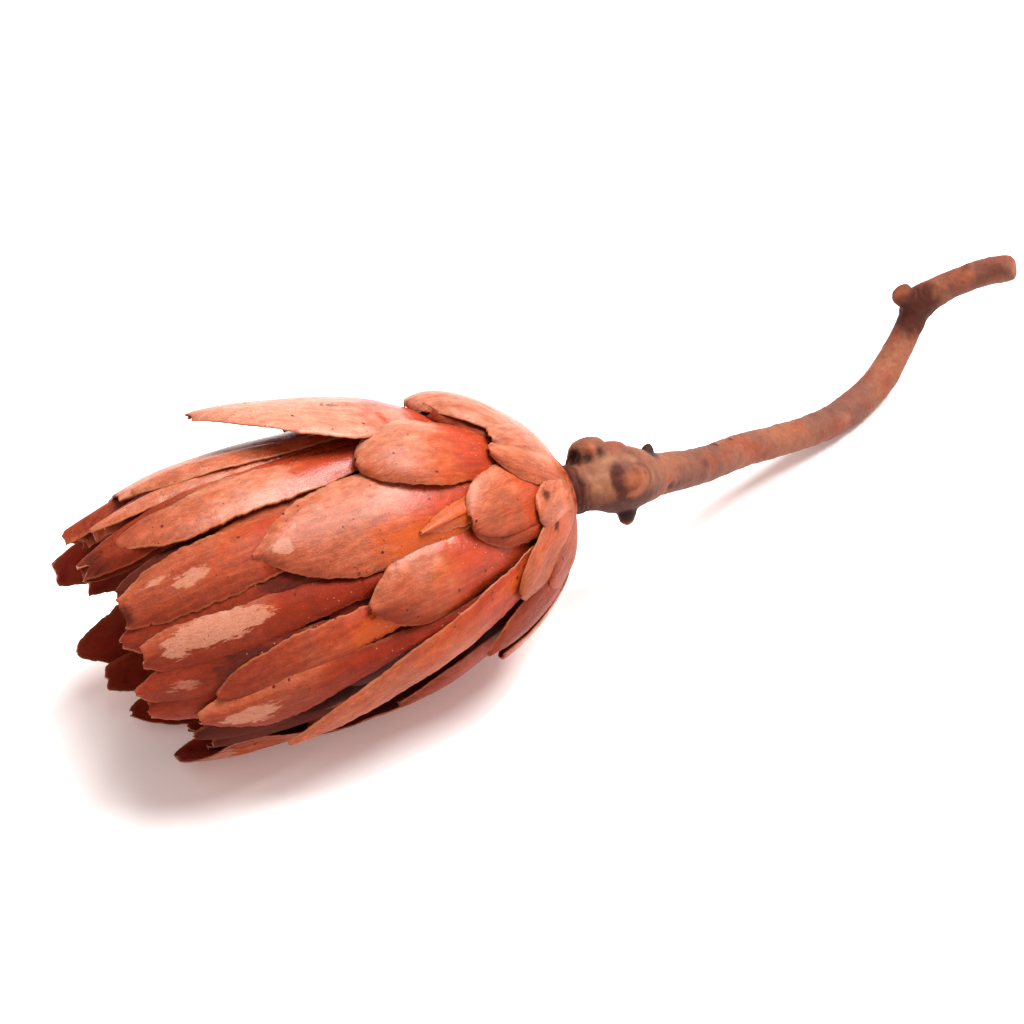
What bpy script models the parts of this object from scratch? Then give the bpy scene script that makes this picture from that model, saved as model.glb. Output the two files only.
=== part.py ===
"""Sugarbush protea: one dried flower head on its woody stem, lying on its side.

Metres, +Z up. The head points along -X, the stem leaves along +X and curls up at its end.
The origin is below the middle of the whole flower, on the surface that it lies on.
Sizes in the tables are millimetres and degrees; MM turns them into metres.
"""

import math
import random
from collections import namedtuple

import bmesh
import bpy
from mathutils import Vector

MM = 0.001

# Driving dimensions of the head. Distances run along its axis from the base to the mouth.
HEAD_TILT = math.radians(3.0)
HEAD_BASE = Vector((-14.5, -6.0, 29.2))
HEAD_OUTLINE = [(0.5, 6), (2, 9), (4, 12.7), (7, 16.5), (14, 21.5), (24, 25.1), (38, 27.4),
                (57, 28.3), (76, 26.4), (95, 22), (105, 20)]
RECEPTACLE = [(1.4, 8.2), (3, 9.8), (6, 13), (11, 15.6), (17, 16), (22, 13.5), (27, 8.5)]
OUTER_LAYER = [(0, 0), (15, 1), (25, 2), (35, 3), (50, 3), (65, 4), (75, 4.6), (105, 4.6)]
LAYER_STEP = 1.15
PROUD_STEP = 0.45
BLADE = 0.75
ROOT_BLADE = 1.3
ROOT_SINK = 1.6
ROOT_RISE = 2.6
FLARE_FROM = 0.2
FIRST_ROOT = 2.0
ROOT_STEP = 3.2
TIP_HALF_WIDTH = 0.45
GAP = 0.3

# How finely a bract is divided: rows near its root, rows along its blade, places across it.
ROOT_ROWS = (0, 1.3, 3.4)
SHORT_BLADE_ROWS = 4
LONG_BLADE_ROWS = 6
SHORT_TIP = 32
WIDE_HALF = 6
WIDE_PLACES = (-1, -0.36, 0.36, 1)
NARROW_PLACES = (-1, 0, 1)

# The stem's end sits in a plain hole in the receptacle, a little in front of the axis.
STEM_SEAT = 2.8
SEAT_OPENING = -4.0
STEM_BELOW_SEAT = -1.2
NECK_RADIUS = 4.7
NECK_SHIFT = Vector((0, -0.8, 0))
ROUND_SIDES = 18

# Florets: a brush of dry needles on a slim core, deep in the cup.
FLORET_SEED = 11
FLORET_COUNT = 84
FLORET_ROOT = 27 + GAP
FLORET_CORE = [(FLORET_ROOT, 7.6), (34, 7.2), (46, 5.2), (58, 3.0)]
FLORET_CORE_SIDES = 9
FLORET_TIPS = (66, 77)
FLORET_RADII = (0.85, 0.85, 0.75, 0.45)
FLORET_SPREAD = 13.5
GOLDEN_ANGLE = math.radians(137.5)

# The stem's middle line from the head outwards, measured from the head's base, with its radius.
STEM_PATH = [
    ((3.0, -0.8, 0.1), 5.0), ((6.5, -0.8, -0.2), 5.8), ((10.0, -0.4, -1.2), 6.4),
    ((13.8, 0.3, -2.7), 6.0), ((17.5, 1.2, -4.4), 4.9), ((21.7, 2.6, -6.2), 4.1),
    ((32.9, 6.5, -11.0), 3.6), ((45.8, 12.4, -16.0), 3.45), ((58.1, 16.6, -20.4), 3.3),
    ((71.2, 20.9, -24.2), 3.35), ((81.9, 25.5, -26.0), 3.5), ((90.8, 29.8, -25.2), 3.4),
    ((96.4, 32.8, -22.1), 3.15), ((101.9, 35.8, -17.3), 3.0), ((104.4, 37.2, -13.8), 3.6),
    ((109.2, 35.6, -10.1), 3.05), ((116.5, 32.3, -6.2), 2.95), ((119.9, 29.0, -4.2), 2.95),
]
STEM_SIDES = 10
STEM_STEPS = 3
# The stem's free end is rounded: how far each ring lies past the path, and its share of the radius.
STEM_END = [(1.2, 0.9), (2.0, 0.6)]

# Buds, scars and cut shoots: the foot's place from the head's base, the direction, length and radii.
UPPER_BACK = Vector((0.28, 0.58, 0.77))
VIEWER_SIDE = Vector((-0.34, -0.69, 0.64))
SHOOTS = [
    ("bud_back", (5.6, -0.8, 0.0), UPPER_BACK - Vector((0.25, 0, 0)), 8.3, (2.6, 3.2, 3.3, 2.0)),
    ("cut_shoot", (13.4, 0.3, -2.6), VIEWER_SIDE, 7.9, (2.6, 2.8, 2.7, 2.4)),
    ("bud_top", (16.6, 1.0, -4.0), UPPER_BACK + Vector((0.3, 0, 0)), 6.4, (1.3, 1.3, 1.3, 0.9)),
    ("bud_below", (12.8, -0.1, -2.0), -UPPER_BACK, 8.8, (1.8, 1.9, 1.7, 0.9)),
    ("side_shoot", (103.6, 37.2, -14.0), Vector((-0.66, 0.2, 0.72)), 5.8, (2.3, 2.4, 2.5, 2.2)),
]
SHOOT_SIDES = 8

# Colours are linear red, green and blue; each goes with its roughness.
BRACT_LOOK = ((0.62, 0.22, 0.12), 0.5)
FLORET_LOOK = ((0.12, 0.075, 0.05), 0.8)
STEM_LOOK = ((0.42, 0.22, 0.14), 0.7)
SHARP_ANGLE = math.radians(35)

Bract = namedtuple("Bract", "name layer tip start end half widest neck slim point flare swell")

# Each kind of bract: where it is widest, its neck's width, slimness below that, pointedness.
SCALE = dict(widest=0.58, neck=0.6, slim=1.0, point=0.55)
MIDDLE = dict(widest=0.62, neck=0.42, slim=1.6, point=0.8)
LONG = dict(widest=0.8, neck=0.3, slim=3.0, point=0.65)


def bract(kind, name, layer, tip, start, end, half, flare=0.0, swell=0.0, **own):
    """One bract: its tip's distance, its angles round the head at root and tip, half its width."""
    return Bract(name=name, layer=layer, tip=tip, start=start, end=end, half=half,
                 flare=flare, swell=swell, **{**kind, **own})


# Angles run round the head from its top (0) to its front (90), below (180) and back (270).
SHOWN_BRACTS = [
    bract(SCALE, "scale_top", 0.9, 26, -9, -28, 10.2, flare=-0.5, swell=1.5),
    bract(SCALE, "scale_upper", 0.1, 17, 7, 11, 4.8),
    bract(SCALE, "scale_slanting", 0.7, 18.5, 36, 19, 4.8),
    bract(SCALE, "scale_broad", 1.8, 27.5, 42, 46, 7.9, point=0.45),
    bract(SCALE, "scale_base", 0.0, 14, 50, 54, 4.8),
    bract(SCALE, "scale_front", 0.6, 21.5, 62, 84, 5.2),
    bract(SCALE, "scale_low", 0.2, 14.5, 86, 90, 6.2),
    bract(SCALE, "scale_under", 1.0, 29, 92, 107, 5.6, point=0.8),
    bract(MIDDLE, "sliver", 2.9, 37.5, 36, 44.5, 2.4, point=1.0),
    bract(MIDDLE, "middle_top", 3.1, 42.5, 14, 10.5, 8.4, swell=1.7, point=0.6),
    bract(MIDDLE, "middle_broad", 3.8, 66, 34, 32, 9.4, point=0.9),
    bract(MIDDLE, "middle_front", 3.7, 49.5, 62, 64, 7.3, widest=0.7),
    bract(MIDDLE, "middle_slanting", 2.6, 68, 71, 112, 4.6, slim=0.8),
    bract(MIDDLE, "middle_flared", 4.2, 65, -14, -31, 10.8, flare=6.4, swell=1.6, widest=0.5, point=0.9),
    bract(MIDDLE, "middle_under", 3.9, 45, 122, 128, 6.8),
    bract(MIDDLE, "rest_front", 2.7, 60, 157, 157, 7.2, flare=0.2),
    bract(MIDDLE, "rest_back", 2.7, 61, 203, 200, 7.2, flare=0.2),
    bract(MIDDLE, "rest_between", 5.5, 56, 180, 181, 7.0),
    bract(LONG, "long_1", 4.6, 81, -26, -33, 7.4, slim=1.5),
    bract(LONG, "long_2", 5.5, 92.5, -14, 4, 5.2),
    bract(LONG, "long_3", 4.8, 85.5, 2, 2, 4.9, slim=1.5),
    bract(LONG, "long_4", 4.7, 89.5, 28, 34, 4.7, slim=2.0, point=0.5),
    bract(LONG, "long_4b", 6.1, 91, 46, 45, 4.6),
    bract(LONG, "long_5", 5.3, 88.5, 56, 54, 4.7, point=0.5),
    bract(LONG, "long_6", 4.3, 82.5, 81, 86, 4.5, slim=4.0),
    bract(LONG, "long_7", 4.9, 78.5, 64, 78, 4.8, slim=2.2),
    bract(LONG, "long_8", 5.8, 91, 72, 69, 4.8),
    bract(LONG, "long_9", 6.3, 90, 82, 80, 4.4),
    bract(LONG, "mouth_1", 6.3, 83.5, 150, 147, 6.2, flare=0.4),
    bract(LONG, "mouth_2", 5.9, 88, 170, 193, 5.2),
    bract(LONG, "mouth_3", 6.3, 90, 212, 213, 4.8),
    bract(LONG, "mouth_4", 5.3, 93, 234, 234, 5.4),
    bract(LONG, "mouth_5", 6.2, 88, 256, 256, 4.8),
    bract(LONG, "mouth_6", 5.5, 93, 277, 279, 5.8),
    bract(LONG, "mouth_7", 5.2, 89, 302, 302, 4.9),
    bract(LONG, "mouth_8", 6.3, 88, 332, 330, 4.6),
]

# The rest of the head by a rule: each ring's kind, count, angles, tips, half width and layers.
HIDDEN_SEED = 7
HIDDEN_RINGS = [
    (SCALE, "back_scale", 7, 130, 318, (14, 28), 6.4, (0.1, 1.3)),
    (MIDDLE, "back_middle", 4, 236, 318, (46, 62), 7.6, (3.0, 3.8)),
    (LONG, "back_long", 5, 222, 322, (74, 84), 5.4, (4.4, 4.9)),
    (LONG, "inner", 12, 96, 338, (64, 82), 4.8, (7.0, 7.7)),
]


def smooth_between(points, x):
    """Value at x on a smooth curve through the points."""
    if x <= points[0][0]:
        return points[0][1]
    for i in range(len(points) - 1):
        (x0, y0), (x1, y1) = points[i], points[i + 1]
        if x > x1:
            continue
        before = points[max(i - 1, 0)]
        after = points[min(i + 2, len(points) - 1)]
        slope0 = (y1 - before[1]) / (x1 - before[0])
        slope1 = (after[1] - y0) / (after[0] - x0)
        t, span = (x - x0) / (x1 - x0), x1 - x0
        return ((2 * t**3 - 3 * t**2 + 1) * y0 + (t**3 - 2 * t**2 + t) * span * slope0
                + (3 * t**2 - 2 * t**3) * y1 + (t**3 - t**2) * span * slope1)
    return points[-1][1]


def head_point(along, angle, radius):
    """A point in the head: millimetres along the axis, radians round it, millimetres out."""
    axis = Vector((-math.cos(HEAD_TILT), 0, -math.sin(HEAD_TILT)))
    top = Vector((-math.sin(HEAD_TILT), 0, math.cos(HEAD_TILT)))
    front = Vector((0, -1, 0))
    out = top * math.cos(angle) + front * math.sin(angle)
    return (HEAD_BASE + axis * along + out * radius) * MM


def hidden_bracts():
    """Neighbours in a ring lie in two layers, so that they overlap without crossing."""
    draw = random.Random(HIDDEN_SEED)
    found = []
    for kind, name, count, first, last, tips, half, layers in HIDDEN_RINGS:
        for i in range(count):
            angle = first + (last - first) * (i + 0.5) / count + draw.uniform(-4, 4)
            layer = layers[i % 2] + draw.uniform(0, 0.15)
            found.append(bract(kind, f"{name}_{i + 1}", layer, draw.uniform(*tips), angle,
                               angle + draw.uniform(-5, 5), half * draw.uniform(0.9, 1.1)))
    return found


def envelope(b, along):
    """Radius of the layer that a bract lies in; past the layers that cover it, it stands proud."""
    depth = b.layer - smooth_between(OUTER_LAYER, along)
    return smooth_between(HEAD_OUTLINE, along) - depth * (LAYER_STEP if depth > 0 else PROUD_STEP)


def root_of(b):
    """Inner layers grow from higher on the receptacle."""
    return max(FIRST_ROOT, ROOT_STEP * b.layer - 1)


def bract_point(b, along, across):
    """Middle surface of a bract; across runs from -1 to 1, positive towards larger angles."""
    root = root_of(b)
    v = (along - root) / (b.tip - root)
    start = smooth_between(RECEPTACLE, root) - ROOT_SINK
    rise = math.exp(-(along - root) / ROOT_RISE)
    radius = envelope(b, along) - (envelope(b, root) - start) * rise
    radius += b.flare * (max(0, v - FLARE_FROM) / (1 - FLARE_FROM)) ** 1.5
    radius += b.swell * math.sin(math.pi * v * v)
    angle = math.radians(b.start + (b.end - b.start) * v)
    turn = across * bract_half_width(b, v) / radius
    return head_point(along, angle + turn, radius)


def bract_half_width(b, v):
    if v < b.widest:
        rise = math.sin(math.pi / 2 * (v / b.widest) ** b.slim)
        return b.half * (b.neck + (1 - b.neck) * rise)
    fall = min(1, (v - b.widest) / (1 - b.widest))
    return max(TIP_HALF_WIDTH, b.half * (1 - fall**2) ** b.point)


def bract_rows(b):
    """Distances of a bract's cross rows, closer at the root and the tip."""
    rows = [root_of(b) + beyond for beyond in ROOT_ROWS]
    first = rows[-1]
    count = SHORT_BLADE_ROWS if b.tip < SHORT_TIP else LONG_BLADE_ROWS
    rows += [first + (b.tip - first) * math.sin(math.pi / 2 * (i + 1) / count) for i in range(count)]
    return rows


def pressed(point, floor):
    """What would reach below the surface lies flat on it."""
    return Vector((point.x, point.y, max(point.z, floor)))


def solid_sheet(name, grid, thickness):
    """A closed blade round a grid of middle points, split alike on both faces."""
    bm = bmesh.new()
    rows, columns = len(grid), len(grid[0])
    faces = []
    for side in (1, -1):
        layer = []
        for i in range(rows):
            for j in range(columns):
                down = grid[min(i + 1, rows - 1)][j] - grid[max(i - 1, 0)][j]
                over = grid[i][min(j + 1, columns - 1)] - grid[i][max(j - 1, 0)]
                normal = over.cross(down).normalized()
                half = thickness(i) * MM / 2
                floor = 0 if side == 1 else 2 * half
                layer.append(bm.verts.new(pressed(grid[i][j] + normal * half * side, floor)))
        faces.append(layer)
    outer, inner = faces

    def strip(a, b, c, d):
        bm.faces.new((a, b, c))
        bm.faces.new((a, c, d))

    for i in range(rows - 1):
        for j in range(columns - 1):
            k = i * columns + j
            strip(outer[k], outer[k + columns], outer[k + columns + 1], outer[k + 1])
            strip(inner[k + columns + 1], inner[k + columns], inner[k], inner[k + 1])
    for i in range(rows - 1):
        for j in (0, columns - 1):
            k = i * columns + j
            strip(outer[k], outer[k + columns], inner[k + columns], inner[k])
    for i in (0, rows - 1):
        for j in range(columns - 1):
            k = i * columns + j
            strip(outer[k], outer[k + 1], inner[k + 1], inner[k])
    return finished(name, bm)


def finished(name, bm):
    bmesh.ops.recalc_face_normals(bm, faces=bm.faces)
    mesh = bpy.data.meshes.new(name)
    bm.to_mesh(mesh)
    bm.free()
    piece = bpy.data.objects.new(name, mesh)
    bpy.context.collection.objects.link(piece)
    return piece


def bract_solid(b):
    places = WIDE_PLACES if b.half > WIDE_HALF else NARROW_PLACES
    grid = [[bract_point(b, along, across) for across in places] for along in bract_rows(b)]
    return solid_sheet(b.name, grid, lambda i: ROOT_BLADE if i == 0 else BLADE)


def skinned(name, rings):
    """A closed solid over rings of points, flat across its first and its last ring."""
    bm = bmesh.new()
    loops = [[bm.verts.new(point) for point in ring] for ring in rings]
    for lower, upper in zip(loops, loops[1:]):
        for k in range(len(lower)):
            n = (k + 1) % len(lower)
            bm.faces.new((lower[k], lower[n], upper[n], upper[k]))
    bm.faces.new(loops[0][::-1])
    bm.faces.new(loops[-1])
    return finished(name, bm)


def ring_round(centre, side, over, radius, sides):
    """Points round a centre, in the plane of two unit vectors."""
    turns = [2 * math.pi * k / sides for k in range(sides)]
    return [centre + (side * math.cos(turn) + over * math.sin(turn)) * radius * MM for turn in turns]


def turned(name, outline, sides, place):
    """A closed solid turned from (distance, radius) pairs about the line that place follows."""
    turns = [2 * math.pi * k / sides for k in range(sides)]
    return skinned(name, [[place(along, turn, radius) for turn in turns] for along, radius in outline])


def tube(name, path, radii, sides, level):
    """A closed tube along a path, its rings turned so that one side of each faces level."""
    rings = []
    for i, (point, radius) in enumerate(zip(path, radii)):
        along = path[min(i + 1, len(path) - 1)] - path[max(i - 1, 0)]
        side = level.cross(along).normalized()
        over = along.cross(side).normalized()
        rings.append(ring_round(point, side, over, radius, sides))
    return skinned(name, [[pressed(corner, 0) for corner in ring] for ring in rings])


def apply_boolean(piece, operation, tool=None, tools=None, solver="EXACT"):
    modifier = piece.modifiers.new("join", "BOOLEAN")
    modifier.operation = operation
    modifier.solver = solver
    if tools:
        modifier.operand_type = "COLLECTION"
        modifier.collection = tools
    else:
        modifier.object = tool
    view = bpy.context.evaluated_depsgraph_get()
    mesh = bpy.data.meshes.new_from_object(piece.evaluated_get(view))
    piece.modifiers.remove(modifier)
    piece.data = mesh


def keep_outer_shell(piece):
    """Fills the hollows that joining seals and drops loose scraps: only the largest shell stays."""
    bm = bmesh.new()
    bm.from_mesh(piece.data)
    bm.faces.ensure_lookup_table()
    unseen = set(bm.faces)
    shells = []
    while unseen:
        stack = [unseen.pop()]
        shell = []
        while stack:
            face = stack.pop()
            shell.append(face)
            for edge in face.edges:
                for other in edge.link_faces:
                    if other in unseen:
                        unseen.remove(other)
                        stack.append(other)
        shells.append(shell)
    shells.sort(key=lambda shell: -sum(face.calc_area() for face in shell))
    for shell in shells[1:]:
        bmesh.ops.delete(bm, geom=shell, context="FACES")
    bm.to_mesh(piece.data)
    bm.free()


def fuse(name, body, parts, solver="MANIFOLD"):
    """One body from a core and everything that grows from it."""
    joined = bpy.data.collections.new(name + "_parts")
    bpy.context.scene.collection.children.link(joined)
    for part in parts:
        bpy.context.collection.objects.unlink(part)
        joined.objects.link(part)
    apply_boolean(body, "UNION", tools=joined, solver=solver)
    for part in list(joined.objects):
        bpy.data.objects.remove(part)
    bpy.data.collections.remove(joined)
    keep_outer_shell(body)
    body.name = name
    body.data.name = name
    return body


def coloured(piece, name, look):
    """Gives a piece its own material and nothing else."""
    colour, roughness = look
    made = bpy.data.materials.new(name)
    made.use_nodes = True
    shader = made.node_tree.nodes["Principled BSDF"]
    shader.inputs["Base Color"].default_value = (*colour, 1)
    shader.inputs["Roughness"].default_value = roughness
    shader.inputs["Metallic"].default_value = 0
    piece.data.materials.clear()
    piece.data.materials.append(made)
    return piece


def make_bracts():
    core = turned("receptacle", RECEPTACLE, ROUND_SIDES, head_point)
    seat_radius = NECK_RADIUS + GAP
    seat_outline = [(SEAT_OPENING, seat_radius), (STEM_SEAT + GAP, seat_radius)]
    seat = turned("seat", seat_outline, ROUND_SIDES, neck_point)
    blades = [bract_solid(b) for b in SHOWN_BRACTS + hidden_bracts()]
    head = fuse("bracts", core, blades)
    apply_boolean(head, "DIFFERENCE", tool=seat)
    bpy.data.objects.remove(seat)
    keep_outer_shell(head)
    return coloured(head, "dried_bract", BRACT_LOOK)


def neck_point(along, angle, radius):
    """A point round the stem's end, which leaves the head a little in front of the axis."""
    return head_point(along, angle, radius) + NECK_SHIFT * MM


def needle_path(k, draw):
    """A floret from its foot on the core, out round the core, to its tip in the cup."""
    out = math.sqrt((k + 0.5) / FLORET_COUNT)
    turn = k * GOLDEN_ANGLE
    foot = FLORET_ROOT + 1.5 + 12 * (1 - out)
    tip = draw.uniform(*FLORET_TIPS) - 6 * out
    spread = FLORET_SPREAD * out + draw.uniform(-1.2, 1.2)
    lean = turn + draw.uniform(-0.25, 0.25)
    return [head_point(foot, turn, 4.6 * out),
            head_point(foot + 5, turn, 6.2 * out + 1.2),
            head_point((foot + tip) / 2, (turn + lean) / 2, 11.5 * out + 0.8),
            head_point(tip, lean, spread)]


def make_florets():
    draw = random.Random(FLORET_SEED)
    core = turned("florets", FLORET_CORE, FLORET_CORE_SIDES, head_point)
    level = Vector((0.2, 1, 0.3))
    needles = [tube(f"floret_{k}", needle_path(k, draw), FLORET_RADII, 3, level)
               for k in range(FLORET_COUNT)]
    return coloured(fuse("florets", core, needles), "dried_floret", FLORET_LOOK)


def from_base(offset):
    """A point measured in millimetres from the head's base."""
    return (HEAD_BASE + Vector(offset)) * MM


def stem_line():
    """Points and radii along the stem, on a smooth curve through its path."""
    knots = [(neck_point(STEM_SEAT, 0, 0), NECK_RADIUS), (neck_point(STEM_BELOW_SEAT, 0, 0), NECK_RADIUS)]
    knots += [(from_base(offset), radius) for offset, radius in STEM_PATH]
    path, radii = [knots[0][0]], [NECK_RADIUS]
    for i in range(1, len(knots) - 1):
        four = knots[i - 1], knots[i], knots[i + 1], knots[min(i + 2, len(knots) - 1)]
        for k in range(STEM_STEPS):
            path.append(spline([knot[0] for knot in four], k / STEM_STEPS))
            radii.append(spline([knot[1] for knot in four], k / STEM_STEPS))
    end, radius = knots[-1]
    onward = (end - knots[-2][0]).normalized() * MM
    for past, share in [(0, 1)] + STEM_END:
        path.append(end + onward * past)
        radii.append(radius * share)
    return path, radii


def spline(four, t):
    """A smooth curve through four values, between the second and the third."""
    before, here, after, beyond = four
    return 0.5 * (2 * here + (after - before) * t
                  + (2 * before - 5 * here + 4 * after - beyond) * t**2
                  + (3 * here - before - 3 * after + beyond) * t**3)


def shoot(name, foot, direction, length, radii):
    """A short bud, scar or cut side shoot standing out of the stem."""
    direction = direction.normalized()
    side = direction.orthogonal().normalized()
    over = direction.cross(side)
    step = direction * length * MM / (len(radii) - 1)
    rings = [ring_round(from_base(foot) + step * i, side, over, radius, SHOOT_SIDES)
             for i, radius in enumerate(radii)]
    return skinned(name, rings)


def make_stem():
    path, radii = stem_line()
    stem = tube("stem", path, radii, STEM_SIDES, Vector((0, 0, 1)))
    stem = fuse("stem", stem, [shoot(*each) for each in SHOOTS])
    return coloured(stem, "dried_stem", STEM_LOOK)


def main():
    for old in list(bpy.data.objects):
        bpy.data.objects.remove(old)
    for made in (make_bracts(), make_florets(), make_stem()):
        made.data.shade_smooth()
        made.data.set_sharp_from_angle(angle=SHARP_ANGLE)


main()
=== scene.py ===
"""Sugarbush protea: the dried flower head on its stem, dressed for the picture.

Lengths in the tables are millimetres, angles are degrees; MM turns millimetres into metres.
The head's distances run along its axis from the base to the mouth, and its angles run round it
from the top (0) to the front (90), below (180) and the back (270).
"""

import random
from collections import namedtuple
from functools import partial, partialmethod
from math import cos, exp, hypot, pi, radians, sin, sqrt
from types import SimpleNamespace

import bpy
from mathutils import Matrix, Vector, noise


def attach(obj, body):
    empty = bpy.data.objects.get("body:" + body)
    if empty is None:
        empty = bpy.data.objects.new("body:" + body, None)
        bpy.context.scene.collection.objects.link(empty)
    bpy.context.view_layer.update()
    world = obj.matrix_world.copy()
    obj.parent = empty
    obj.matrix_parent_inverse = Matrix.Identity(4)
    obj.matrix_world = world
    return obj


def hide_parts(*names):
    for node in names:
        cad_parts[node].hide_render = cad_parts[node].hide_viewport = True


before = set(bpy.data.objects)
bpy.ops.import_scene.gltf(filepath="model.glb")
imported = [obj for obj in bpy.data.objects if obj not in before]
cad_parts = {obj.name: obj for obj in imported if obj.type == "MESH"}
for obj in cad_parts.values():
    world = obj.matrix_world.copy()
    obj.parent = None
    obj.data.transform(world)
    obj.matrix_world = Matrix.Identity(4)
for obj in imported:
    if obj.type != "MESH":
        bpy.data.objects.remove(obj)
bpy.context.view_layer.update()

MM = 0.001

# The head's form, as in the part's source.
HEAD_TILT = radians(3.0)
HEAD_BASE = Vector((-14.5, -6.0, 29.2))
HEAD_OUTLINE = [(0.5, 6), (2, 9), (4, 12.7), (7, 16.5), (14, 21.5), (24, 25.1), (38, 27.4),
                (57, 28.3), (76, 26.4), (95, 22), (105, 20)]
RECEPTACLE = [(1.4, 8.2), (3, 9.8), (6, 13), (11, 15.6), (17, 16), (22, 13.5), (27, 8.5)]
# The skin of the receptacle starts closer to the neck than the solid one.
NECK_OUTLINE = [(0.3, 4.3), (0.6, 5.8), (1.6, 7.3), (2.6, 8.2)]
OUTER_LAYER = [(0, 0), (15, 1), (25, 2), (35, 3), (50, 3), (65, 4), (75, 4.6), (105, 4.6)]
LAYER_STEP = 1.15
PROUD_STEP = 0.45
ROOT_SINK = 1.6
ROOT_RISE = 2.6
FLARE_FROM = 0.2
FLARE_POWER = 1.5
FIRST_ROOT = 2.0
ROOT_STEP = 3.2
TIP_HALF_WIDTH = 0.45

Bract = namedtuple("Bract", "name layer tip start end half widest neck slim point flare swell")


def bract(kind, name, layer, tip, start, end, half, flare=0.0, swell=0.0, **own):
    """One bract: its tip's distance, its angles round the head at root and tip, half its width."""
    return Bract(name, layer, tip, start, end, half, flare=flare, swell=swell,
                 **{**kind, **own})


# The plain forms that bracts start from.
scale = partial(bract, dict(widest=0.58, neck=0.6, slim=1.0, point=0.55))
middle = partial(bract, dict(widest=0.62, neck=0.42, slim=1.6, point=0.8))
blade = partial(bract, dict(widest=0.8, neck=0.3, slim=3.0, point=0.65))

SHOWN_BRACTS = [
    scale("scale_top", 0.9, 26, -9, -28, 10.2, flare=-0.5, swell=1.5),
    scale("scale_upper", 0.1, 17, 7, 11, 4.8),
    scale("scale_slanting", 0.7, 18.5, 36, 19, 4.8),
    scale("scale_broad", 1.8, 27.5, 42, 46, 7.9, point=0.45),
    scale("scale_base", 0.0, 14, 50, 54, 4.8),
    scale("scale_front", 0.6, 21.5, 62, 84, 5.2),
    scale("scale_low", 0.2, 14.5, 86, 90, 6.2),
    scale("scale_under", 1.0, 29, 92, 107, 5.6, point=0.8),
    middle("sliver", 2.9, 37.5, 36, 44.5, 2.4, point=1.0),
    middle("middle_top", 3.1, 42.5, 14, 10.5, 8.4, swell=1.7, point=0.6),
    middle("middle_broad", 3.8, 66, 34, 32, 9.4, point=0.9),
    middle("middle_front", 3.7, 49.5, 62, 64, 7.3, widest=0.7),
    middle("middle_slanting", 2.6, 68, 71, 112, 4.6, slim=0.8),
    middle("middle_flared", 4.2, 65, -14, -31, 10.8, flare=6.4, swell=1.6, widest=0.5,
           point=0.9),
    middle("middle_under", 3.9, 45, 122, 128, 6.8),
    middle("rest_front", 2.7, 60, 157, 157, 7.2, flare=0.2),
    middle("rest_back", 2.7, 61, 203, 200, 7.2, flare=0.2),
    middle("rest_between", 5.5, 56, 180, 181, 7.0),
    blade("long_1", 4.6, 81, -26, -33, 7.4, slim=1.5),
    blade("long_2", 5.5, 92.5, -14, 4, 5.2),
    blade("long_3", 4.8, 85.5, 2, 2, 4.9, slim=1.5),
    blade("long_4", 4.7, 89.5, 28, 34, 4.7, slim=2.0, point=0.5),
    blade("long_4b", 6.1, 91, 46, 45, 4.6),
    blade("long_5", 5.3, 88.5, 56, 54, 4.7, point=0.5),
    blade("long_6", 4.3, 82.5, 81, 86, 4.5, slim=4.0),
    blade("long_7", 4.9, 78.5, 64, 78, 4.8, slim=2.2),
    blade("long_8", 5.8, 91, 72, 69, 4.8),
    blade("long_9", 6.3, 90, 82, 80, 4.4),
    blade("mouth_1", 6.0, 84.5, 152, 157, 6.8, flare=0.4),
    blade("mouth_2", 5.9, 88, 170, 193, 5.2),
    blade("mouth_3", 6.3, 90, 212, 213, 4.8),
    blade("mouth_4", 5.3, 93, 234, 231, 5.4),
    blade("mouth_5", 6.2, 88, 262, 264, 4.8),
    blade("mouth_6", 5.5, 93, 277, 279, 5.8),
    blade("mouth_7", 5.2, 89, 302, 302, 4.9),
    blade("mouth_8", 5.5, 91.5, 326, 318, 4.2),
]

# The rest of the head in rings: plain form, name, count, angles, tips, half width, layers.
HIDDEN_SEED = 7
HIDDEN_RINGS = [
    (scale, "back_scale", 7, 130, 318, (14, 28), 6.4, (0.1, 1.3)),
    (middle, "back_middle", 4, 236, 318, (43, 53), 7.6, (3.0, 3.8)),
    (blade, "back_long", 5, 222, 322, (74, 84), 5.4, (4.4, 4.9)),
    (blade, "inner", 12, 96, 338, (64, 82), 4.8, (7.0, 7.7)),
    (blade, "under", 7, -34, 96, (50, 58), 6.6, (6.5, 6.9)),
]
ROOT_SPREAD = 4
TIP_SPREAD = 5
LAYER_SPREAD = 0.15
WIDTH_SPREAD = (0.9, 1.1)
# Thin blades that show only through the gaps between the others.
GAP_BRACTS = [
    blade("gap_top", 5.2, 86, -22, -15, 4.0, neck=0.8, slim=1.4),
    blade("inner_front", 6.6, 88.5, 14, 22, 3.6),
    middle("gap_side", 6.3, 72, 16, 18, 5.0),
    blade("gap_wall", 6.7, 88.5, 270, 272, 4.6),
    blade("gap_back", 6.9, 88, 296, 300, 2.6),
    blade("gap_upper", 6.6, 87, 330, 334, 3.0),
    scale("gap_scale", 1.9, 25, -8, -18, 8.0),
    blade("lit_1", 4.2, 79, -8, -18, 3.2, flare=1.2),
    blade("lit_2", 5.0, 88, -12, -12, 2.6, flare=0.8),
    middle("gap_floor", 6.6, 78, 198, 204, 6.4),
    middle("gap_low", 7.2, 74, 176, 172, 6.0),
    middle("gap_rear", 7.0, 66, 220, 220, 5.0),
    middle("gap_under", 6.8, 62, 135, 133, 7.0),
    middle("gap_turn", 7.1, 60, 113, 113, 5.5),
    blade("inner_slot", 7.3, 83, 102, 106, 4.5),
]

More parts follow.
